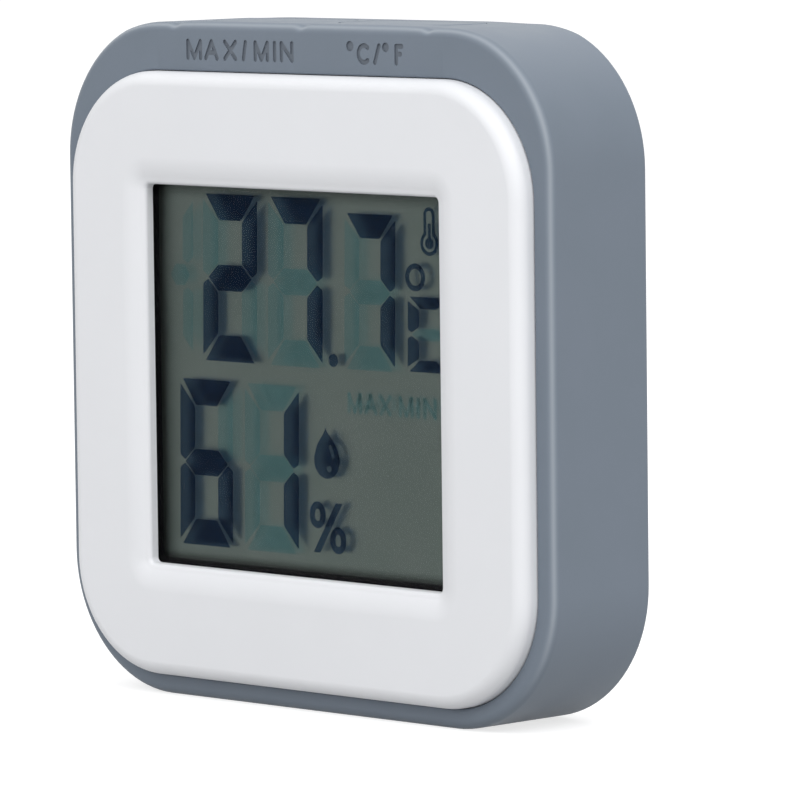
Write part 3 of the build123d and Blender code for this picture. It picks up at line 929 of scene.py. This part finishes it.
def dent_top(piece):
    """Presses the three notches into the top front edge, and lets the shoulders fall a little."""
    for vertex in piece.data.vertices:
        place = vertex.co
        if place.z < sleeve_high.z - TOP_ZONE:
            continue
        front_share = 1 - eased((place.y - SLEEVE_FRONT) / NOTCH_REACH)
        top_share = eased(1 - (sleeve_high.z - place.z) / TOP_ZONE)
        dip = sum(bell(place.x - x, NOTCH_SPREAD) for x in NOTCH_PLACES)
        fall = eased((abs(place.x) - SHOULDER_START) / (SHOULDER_END - SHOULDER_START))
        place.z -= top_share * (NOTCH_DEPTH * dip * front_share + SHOULDER_DROP * fall)


def in_groove(place):
    """Whether a place on the sleeve lies in an engraved letter."""
    deep = SLEEVE_FRONT + GROOVE_START < place.y < SLEEVE_FRONT + GROOVE_END
    foot, top = (LABEL_FOOT - GROOVE_MARGIN) * MM, (LABEL_TOP + GROOVE_MARGIN) * MM
    return deep and foot < place.z < top and abs(place.x) < GROOVE_REACH


def key_loop(node, gap):
    """The outline of a key from above, larger by a gap."""
    start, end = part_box(node)
    corner = KEY_CORNER + gap
    loop = []
    for side, turn, first in CORNERS:
        centre_x = (end.x + gap - corner) if side > 0 else (start.x - gap + corner)
        centre_y = (end.y + gap - corner) if turn > 0 else (start.y - gap + corner)
        loop += arc(
            (centre_x, centre_y), (corner, corner), first, first + 90, KEY_CORNER_STEPS
        )
    return loop


def make_sleeve():
    """The sleeve, with its notches, its two key openings and its engraved labels."""
    piece = lofted("sleeve", sleeve_rings())
    verts, faces = [], []
    for pad, _ in KEYS:
        prism(
            key_loop(pad, KEY_GAP),
            lambda p: (p[0], p[1], sleeve_high.z - 2 * SLEEVE_WALL),
            lambda p: (p[0], p[1], sleeve_high.z + SLEEVE_WALL),
            verts,
            faces,
        )
    for loop in label_loops():
        prism(
            loop,
            lambda p: (p[0], SLEEVE_FRONT - SLEEVE_LIP, p[1]),
            lambda p: (p[0], SLEEVE_FRONT + LABEL_DEPTH, p[1]),
            verts,
            faces,
        )
    cut(piece, mesh_object("sleeve cutter", verts, faces))
    mark_ridge_wear_and_highlight(piece)
    dent_top(piece)
    shaded(piece)
    finished(piece, silicone_finish, "case")
    # Faces inside the engraved letters take the darker groove colour, a painted shade
    piece.data.materials.append(groove_shade_finish)
    for polygon in piece.data.polygons:
        if in_groove(polygon.center):
            polygon.material_index = 1
    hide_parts("silicone_sleeve")


def make_key(node, body):
    """A silicone pad with rounded top edges."""
    start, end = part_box(node)

    def level(inset, z):
        return [(x, y, z) for x, y in key_loop(node, -inset)]

    rings = [level(0, start.z), level(0, end.z - KEY_ROUND)]
    for inset, short in quarter_turn(KEY_ROUND_STEPS, 1):
        rings.append(level(KEY_ROUND * inset, end.z - KEY_ROUND * short))
    piece = lofted(node.replace("_pad", "_key_top"), rings, closed=False)
    shaded(piece)
    finished(piece, silicone_finish, body)
    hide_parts(node)


# Face
def bezel_rings():
    """Rings of the face, from the foot of the window wall over the front to the flange and back."""
    window = (WINDOW_WIDTH, WINDOW_HEIGHT, WINDOW_CORNER, FACE_MIDDLE)
    face = (FACE_WIDTH, FACE_HEIGHT, FACE_CORNER, FACE_MIDDLE)
    shell = (SHELL_WIDTH, SHELL_HEIGHT, SHELL_CORNER, SLEEVE_MIDDLE)
    dish_front = FACE_FRONT + DISH_DEPTH
    rings = [at_depth(grown(*window, 0), FACE_BACK, WINDOW_ASIDE)]
    for out, deep in quarter_turn(WINDOW_EDGE_STEPS):
        edge = grown(*window, WINDOW_EDGE * out)
        rings.append(at_depth(edge, dish_front + WINDOW_EDGE * deep, WINDOW_ASIDE))
    for step in range(1, DISH_STEPS + 1):
        share = step / DISH_STEPS
        dish = grown(*window, WINDOW_EDGE + (DISH_WIDTH - WINDOW_EDGE) * share)
        rings.append(at_depth(dish, FACE_FRONT + DISH_DEPTH * (1 - share) ** 2, WINDOW_ASIDE))
    for deep, inset in quarter_turn(FACE_ROUND_STEPS):
        edge = grown(*face, -FACE_ROUND * inset)
        rings.append(at_depth(edge, FACE_FRONT + FACE_ROUND * deep))
    rings.append(at_depth(grown(*face, 0), FLANGE_FRONT))
    rings.append(at_depth(grown(*shell, 0), FLANGE_FRONT))
    rings.append(at_depth(grown(*shell, 0), FLANGE_BACK))
    rings.append(at_depth(grown(*face, -FACE_WALL), FLANGE_BACK))
    rings.append(at_depth(grown(*face, -FACE_WALL), FACE_BACK))
    return rings


def make_bezel():
    """The white face."""
    piece = shaded(lofted("face", bezel_rings()))
    finished(piece, white_finish, "case")
    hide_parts("front_bezel")


# Display
def segments(across, tall, level, upright):
    """The seven bars of a digit, from its lower left corner, in millimetres."""
    w, h, m = across, tall, tall / 2
    t, v, g = level, upright, MITRE_GAP
    c = CORNER_CUT * v / PLAIN_STROKE
    tip = TIP_INSET * v / PLAIN_STROKE
    top = [(c, h), (w - c, h), (w - v - g, h - t), (v + g, h - t)]
    right_upper = [
        (w, h - c - g),
        (w, m + UPPER_TIP_SHARE * tip),
        (w - tip, m + g),
        (w - v, m + t / 2 + g),
        (w - v, h - t - g),
    ]
    middle = [
        (tip, m),
        (v, m + t / 2),
        (w - v, m + t / 2),
        (w - tip, m),
        (w - v, m - t / 2),
        (v, m - t / 2),
    ]

    def flipped(points, sideways, over):
        return [(w - x if sideways else x, h - z if over else z) for x, z in points]

    return {
        "a": top,
        "b": right_upper,
        "c": flipped(right_upper, False, True),
        "d": flipped(top, False, True),
        "e": flipped(right_upper, True, True),
        "f": flipped(right_upper, True, False),
        "g": middle,
    }


def digit_loops(digit, wanted):
    """The loops of the lit bars of a digit, or of the unlit ones, in its place on the display."""
    (left, foot), (across, tall), (level, upright), lit = digit
    bars = segments(across, tall, level, upright)
    lean = math.tan(math.radians(SLANT_DEGREES))
    return [
        on_display(softened([(left + x + z * lean, foot + z) for x, z in bars[name]], BAR_ROUND))
        for name in ALL_SEGMENTS
        if (name in lit) == wanted
    ]


def ellipse_ring(centre, radii):
    """The two loops of an elliptical ring, in its place on the display."""
    outer, inner = radii
    return on_display(disc(centre, outer)), on_display(disc(centre, inner))


def thermometer(inset):
    """The outline of the thermometer sign, drawn in by an amount, in its place on the display."""
    half = TUBE_HALF - inset
    radius = BULB_RADIUS - inset
    opening = math.degrees(math.asin(half / radius))
    bow = arc(BULB_PLACE, (radius, radius), 90 + opening, 450 - opening, BULB_STEPS)
    cap = arc((TUBE_X, TUBE_TOP - TUBE_HALF), (half, half), 0, 180, BOW_STEPS)
    return on_display(bow + cap)


def drop_outline():
    """The outline of the water drop sign, in its place on the display."""
    bow = arc(DROP_PLACE, (DROP_RADIUS, DROP_RADIUS), *DROP_BOW, DROP_STEPS)
    tip_x, tip_z = DROP_TIP

    def flank(hip, shares):
        return [
            (tip_x + (hip[0] - tip_x) * eased(s) ** DROP_SWELL, tip_z + (hip[1] - tip_z) * s)
            for s in shares
        ]

    left, right = flank(bow[-1], DROP_SHARES), flank(bow[0], DROP_SHARES[::-1])
    return on_display(bow + left + [DROP_TIP] + right)


def unlit_words():
    """The unlit words of the display, as short strokes in their place on it."""
    return [
        on_display([(x, z - UNLIT_DROP) for x, z in loop])
        for letter in UNLIT_LETTERS
        for loop in strokes_of(*letter, UNLIT_STROKE)
    ]


def make_signs():
    """The lit and unlit marks of the display, as thin shapes behind the front film."""
    dark = [loop for digit in DIGITS + (UNIT_LETTER,) for loop in digit_loops(digit, True)]
    dark.append(on_display(disc(*DECIMAL_POINT)))
    dark.append(on_display(disc(BULB_PLACE, BULB_DOT_RADII)))
    dark.append(on_display(rectangle(*THREAD)))
    dark.append(on_display(PERCENT_STROKE))
    rings = [
        ellipse_ring(DEGREE_PLACE, DEGREE_RADII),
        (thermometer(0), thermometer(THERMOMETER_WALL)),
        *(ellipse_ring(place, PERCENT_RADII) for place in PERCENT_PLACES),
    ]
    lit = upright_prisms("lit_segments", dark, SEGMENT_FRONT, SEGMENT_BACK, rings)

    drop = upright_prisms("drop_sign", [drop_outline()], SEGMENT_FRONT, SEGMENT_BACK)
    slit = on_display(arc(*SLIT_OUTSIDE) + arc(*SLIT_INSIDE))
    dot = on_display(disc(*DROP_DOT))
    cut(drop, upright_prisms("drop cutter", [slit, dot], SEGMENT_FRONT - MM, SEGMENT_BACK + MM))

    # Of the unlit bars of the unit letter, only the last one, its middle bar, shows
    faint = [loop for digit in DIGITS for loop in digit_loops(digit, False)]
    faint.append(digit_loops(UNIT_LETTER, False)[-1])
    faint += [on_display(loop) for loop in UNLIT_SIGNS]
    faint += unlit_words()
    unlit = upright_prisms("unlit_segments", faint, SEGMENT_FRONT, SEGMENT_BACK)

    finished(lit, ink_finish, "case")
    finished(drop, ink_finish, "case")
    finished(unlit, unlit_finish, "case")


def make_display():
    """The front film, and the panel behind it with its dark border."""
    film = upright_prisms(
        "display_film",
        [rectangle(film_low.x, film_low.z, film_high.x, film_high.z)],
        film_low.y,
        film_low.y + FILM_THICKNESS,
    )
    finished(film, film_finish, "case")
    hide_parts("front_polarizer")
    active = rectangle(
        WINDOW_LEFT - PANEL_PAST_LEFT,
        WINDOW_FOOT + BORDER_FOOT,
        WINDOW_WIDTH / 2 + PANEL_PAST_WINDOW,
        WINDOW_TOP + PANEL_PAST_WINDOW,
    )
    panel = upright_prisms("display_panel", [active], PANEL_FRONT, PANEL_BACK)
    finished(panel, panel_finish, "case")
    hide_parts("lcd_rear_glass", "lcd_reflector")
    outer = rectangle(glass_low.x, glass_low.z, glass_high.x, glass_high.z)
    border = upright_prisms("display_border", [], PANEL_FRONT, PANEL_BACK, [(outer, active)])
    finished(border, border_finish, "case")
    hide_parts("lcd_front_glass")


make_sleeve()
for pad, key_body in KEYS:
    make_key(pad, key_body)
make_bezel()
make_signs()
make_display()


# Floor, light and camera
def direction(azimuth, elevation):
    """The way from the meter to something seen from it at two angles, in radians."""
    return Vector(
        (
            math.sin(azimuth) * math.cos(elevation),
            -math.cos(azimuth) * math.cos(elevation),
            math.sin(elevation),
        )
    )


def seen_rays(nodes, links):
    """1 for rays from the camera, in a mirror or through a clear layer, and 0 for the rest."""
    path = nodes.new("ShaderNodeLightPath")
    total = path.outputs["Is Camera Ray"]
    for name in ("Is Glossy Ray", "Is Transmission Ray"):
        total = calculated(nodes, links, "MAXIMUM", total, path.outputs[name])
    return total


def grey_diffuse(nodes, level):
    """A plain grey diffuse shader."""
    shader = nodes.new("ShaderNodeBsdfDiffuse")
    shader.inputs["Color"].default_value = (level, level, level, 1)
    return shader.outputs["BSDF"]


def make_floor():
    """A pale floor that keeps a faint shadow."""
    corners = ((-1, -1), (1, -1), (1, 1), (-1, 1))
    floor = mesh_object(
        "floor", [(x * FLOOR_REACH, y * FLOOR_REACH, 0) for x, y in corners], [(0, 1, 2, 3)]
    )
    made, nodes, links, shader = material("pale floor")
    nodes.remove(shader)
    lift = nodes.new("ShaderNodeEmission")
    lift.inputs["Strength"].default_value = FLOOR_LIFT
    seen = nodes.new("ShaderNodeAddShader")
    links.new(grey_diffuse(nodes, FLOOR_SEEN), seen.inputs[0])
    links.new(lift.outputs["Emission"], seen.inputs[1])
    dim = grey_diffuse(nodes, FLOOR_BOUNCE)
    pick = mixed_shader(nodes, links, seen_rays(nodes, links), dim, seen.outputs["Shader"])
    links.new(pick, nodes["Material Output"].inputs["Surface"])
    floor.data.materials.append(made)


def make_world():
    """White to the camera and in reflections, and a soft even light on the meter."""
    world = bpy.data.worlds.new("studio")
    bpy.context.scene.world = world
    world.use_nodes = True
    nodes, links = world.node_tree.nodes, world.node_tree.links
    soft, white = nodes["Background"], nodes.new("ShaderNodeBackground")
    for background, strength in ((soft, WORLD_LIGHT), (white, WORLD_SEEN)):
        background.inputs["Color"].default_value = PLAIN_WHITE
        background.inputs["Strength"].default_value = strength
    pick = mixed_shader(
        nodes,
        links,
        seen_rays(nodes, links),
        soft.outputs["Background"],
        white.outputs["Background"],
    )
    links.new(pick, nodes["World Output"].inputs["Surface"])


def make_lamp(name, azimuth, elevation, size, watts):
    """A square soft lamp that looks at the middle of the meter."""
    way = direction(math.radians(azimuth), math.radians(elevation))
    lamp = bpy.data.lights.new(name, "AREA")
    lamp.shape = "SQUARE"
    lamp.size = size
    lamp.energy = watts
    holder = bpy.data.objects.new(name, lamp)
    bpy.context.scene.collection.objects.link(holder)
    holder.location = Vector((0, 0, SLEEVE_MIDDLE)) + way * LAMP_DISTANCE
    holder.rotation_mode = "QUATERNION"
    holder.rotation_quaternion = (-way).to_track_quat("-Z", "Y")
    holder.visible_camera = False


def make_camera():
    """The camera of the photograph, from its fitted place, turn and focal length."""
    a, e, r = (math.radians(v) for v in (CAMERA_AZIMUTH, CAMERA_ELEVATION, CAMERA_ROLL))
    back = direction(a, e)
    level = Vector((math.cos(a), math.sin(a), 0))
    upward = back.cross(level)
    right = level * math.cos(r) + upward * math.sin(r)
    top = upward * math.cos(r) - level * math.sin(r)
    target = Vector((0, 0, CAMERA_BASE_Z)) + level * CAMERA_ACROSS
    target += upward * (CAMERA_TARGET_Z - CAMERA_BASE_Z)
    data = bpy.data.cameras.new("camera")
    data.sensor_width = SENSOR
    data.lens = FOCAL_PIXELS * SENSOR / PHOTO_PIXELS
    data.clip_start = CLIP_START
    data.clip_end = CLIP_END
    camera = bpy.data.objects.new("camera", data)
    bpy.context.scene.collection.objects.link(camera)
    turn = Matrix((right, top, back)).transposed().to_4x4()
    camera.matrix_world = Matrix.Translation(target + back * CAMERA_DISTANCE) @ turn
    bpy.context.scene.camera = camera


make_floor()
make_world()
for settings in LAMPS:
    make_lamp(*settings)
make_camera()
bpy.context.scene.view_settings.view_transform = "Standard"
